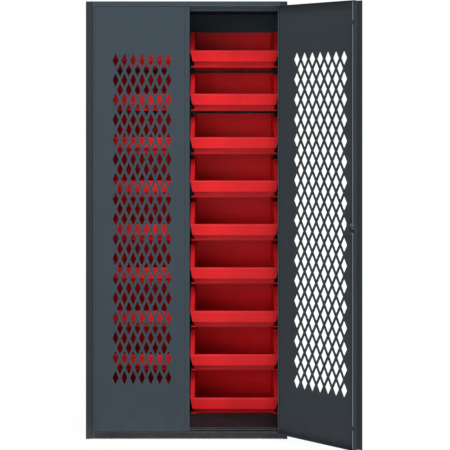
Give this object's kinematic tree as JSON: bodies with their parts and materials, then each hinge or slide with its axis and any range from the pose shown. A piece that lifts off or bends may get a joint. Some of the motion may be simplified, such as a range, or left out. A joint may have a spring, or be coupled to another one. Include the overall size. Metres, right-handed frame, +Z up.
{
  "type": "bin storage cabinet",
  "caption": "Tall steel storage cabinet with diamond-perforated double doors, a turn handle with latch rods, and rows of plastic hopper bins hung on a louvred back panel.",
  "frame": {"origin": "middle of the footprint at floor level, on the underside of the channel below the floor panel", "axes": "+Z up; +Y from the doors towards the wall behind; +X to the right of someone facing the doors"},
  "size_m": [1.2198, 0.8758, 1.9862],
  "materials": {
    "grey_paint": "satin powder coat, fine orange peel",
    "painted_hinge": "satin painted steel with worn knuckles",
    "zinc_plate": "zinc plate, dulled",
    "black_casting": "satin black enamel",
    "red_plastic": "semi-gloss moulded polypropylene"
  },
  "bodies": {
    "cabinet": {"left_side_panel": "grey_paint", "right_side_panel": "grey_paint", "top_panel": "grey_paint", "back_panel": "grey_paint", "floor_panel": "grey_paint", "floor_channel": "grey_paint", "front_left_foot": "grey_paint", "front_right_foot": "grey_paint", "back_left_foot": "grey_paint", "back_right_foot": "grey_paint", "left_front_stile": "grey_paint", "right_front_stile": "grey_paint", "front_header": "grey_paint", "front_sill": "grey_paint", "louvre_panel": "grey_paint", "left_hinge_frame_leaf": "painted_hinge", "right_hinge_frame_leaf": "painted_hinge", "left_hinge_pin": "painted_hinge", "right_hinge_pin": "painted_hinge"},
    "left_door": {"left_door_skin": "grey_paint", "left_door_frame": "grey_paint", "meeting_strip": "grey_paint", "left_hinge_door_leaf": "painted_hinge"},
    "right_door": {"right_door_skin": "grey_paint", "right_door_frame": "grey_paint", "right_hinge_door_leaf": "painted_hinge", "upper_rod_guide": "grey_paint", "lower_rod_guide": "grey_paint", "handle_plate": "black_casting"},
    "handle": {"handle_grip": "black_casting", "handle_spindle": "zinc_plate", "latch_crank": "grey_paint"},
    "lock": {"lock_cylinder": "zinc_plate"},
    "upper_rod": {"upper_rod": "zinc_plate"},
    "lower_rod": {"lower_rod": "zinc_plate"},
    "bin_left_1": {"bin_left_1": "red_plastic"},
    "bin_left_2": {"bin_left_2": "red_plastic"},
    "bin_left_3": {"bin_left_3": "red_plastic"},
    "bin_left_4": {"bin_left_4": "red_plastic"},
    "bin_left_5": {"bin_left_5": "red_plastic"},
    "bin_left_6": {"bin_left_6": "red_plastic"},
    "bin_left_7": {"bin_left_7": "red_plastic"},
    "bin_left_8": {"bin_left_8": "red_plastic"},
    "bin_left_9": {"bin_left_9": "red_plastic"},
    "bin_right_1": {"bin_right_1": "red_plastic"},
    "bin_right_2": {"bin_right_2": "red_plastic"},
    "bin_right_3": {"bin_right_3": "red_plastic"},
    "bin_right_4": {"bin_right_4": "red_plastic"},
    "bin_right_5": {"bin_right_5": "red_plastic"},
    "bin_right_6": {"bin_right_6": "red_plastic"},
    "bin_right_7": {"bin_right_7": "red_plastic"},
    "bin_right_8": {"bin_right_8": "red_plastic"},
    "bin_right_9": {"bin_right_9": "red_plastic"}
  },
  "joints": [
    {"name": "left_door_hinge", "type": "hinge", "parent": "cabinet", "child": "left_door", "pos_m": [-0.4194, -0.308, 0.9986], "axis": [0, 0, -1], "range_deg": [0, 177]},
    {"name": "right_door_hinge", "type": "hinge", "parent": "cabinet", "child": "right_door", "pos_m": [0.4194, -0.308, 0.9986], "axis": [0, 0, 1], "range_deg": [-144.2, 32.8]},
    {"name": "handle_turn", "type": "hinge", "parent": "right_door", "child": "handle", "pos_m": [0.72598, -0.52911, 0.9986], "axis": [-0.585, -0.8111, 0], "range_deg": [0, 90]},
    {"name": "lock_turn", "type": "hinge", "parent": "handle", "child": "lock", "pos_m": [0.72598, -0.52911, 0.9986], "axis": [-0.585, -0.8111, 0], "range_deg": [0, 90]},
    {"name": "upper_rod_slide", "type": "slide", "parent": "right_door", "child": "upper_rod", "axis": [0, 0, 1], "range_m": [0, 0.0198]},
    {"name": "lower_rod_slide", "type": "slide", "parent": "right_door", "child": "lower_rod", "axis": [0, 0, -1], "range_m": [0, 0.0198]},
    {"name": "bin_left_1_lift", "type": "slide", "parent": "cabinet", "child": "bin_left_1", "axis": [0, 0, 1], "range_m": [0, 0.012]},
    {"name": "bin_left_2_lift", "type": "slide", "parent": "cabinet", "child": "bin_left_2", "axis": [0, 0, 1], "range_m": [0, 0.012]},
    {"name": "bin_left_3_lift", "type": "slide", "parent": "cabinet", "child": "bin_left_3", "axis": [0, 0, 1], "range_m": [0, 0.012]},
    {"name": "bin_left_4_lift", "type": "slide", "parent": "cabinet", "child": "bin_left_4", "axis": [0, 0, 1], "range_m": [0, 0.012]},
    {"name": "bin_left_5_lift", "type": "slide", "parent": "cabinet", "child": "bin_left_5", "axis": [0, 0, 1], "range_m": [0, 0.012]},
    {"name": "bin_left_6_lift", "type": "slide", "parent": "cabinet", "child": "bin_left_6", "axis": [0, 0, 1], "range_m": [0, 0.012]},
    {"name": "bin_left_7_lift", "type": "slide", "parent": "cabinet", "child": "bin_left_7", "axis": [0, 0, 1], "range_m": [0, 0.012]},
    {"name": "bin_left_8_lift", "type": "slide", "parent": "cabinet", "child": "bin_left_8", "axis": [0, 0, 1], "range_m": [0, 0.012]},
    {"name": "bin_left_9_lift", "type": "slide", "parent": "cabinet", "child": "bin_left_9", "axis": [0, 0, 1], "range_m": [0, 0.012]},
    {"name": "bin_right_1_lift", "type": "slide", "parent": "cabinet", "child": "bin_right_1", "axis": [0, 0, 1], "range_m": [0, 0.012]},
    {"name": "bin_right_2_lift", "type": "slide", "parent": "cabinet", "child": "bin_right_2", "axis": [0, 0, 1], "range_m": [0, 0.012]},
    {"name": "bin_right_3_lift", "type": "slide", "parent": "cabinet", "child": "bin_right_3", "axis": [0, 0, 1], "range_m": [0, 0.012]},
    {"name": "bin_right_4_lift", "type": "slide", "parent": "cabinet", "child": "bin_right_4", "axis": [0, 0, 1], "range_m": [0, 0.012]},
    {"name": "bin_right_5_lift", "type": "slide", "parent": "cabinet", "child": "bin_right_5", "axis": [0, 0, 1], "range_m": [0, 0.012]},
    {"name": "bin_right_6_lift", "type": "slide", "parent": "cabinet", "child": "bin_right_6", "axis": [0, 0, 1], "range_m": [0, 0.012]},
    {"name": "bin_right_7_lift", "type": "slide", "parent": "cabinet", "child": "bin_right_7", "axis": [0, 0, 1], "range_m": [0, 0.012]},
    {"name": "bin_right_8_lift", "type": "slide", "parent": "cabinet", "child": "bin_right_8", "axis": [0, 0, 1], "range_m": [0, 0.012]},
    {"name": "bin_right_9_lift", "type": "slide", "parent": "cabinet", "child": "bin_right_9", "axis": [0, 0, 1], "range_m": [0, 0.012]}
  ],
  "couplings": [
    {"joint": "upper_rod_slide", "follows": "handle_turn", "m_per_rad": 0.012604},
    {"joint": "lower_rod_slide", "follows": "handle_turn", "m_per_rad": 0.012604}
  ]
}
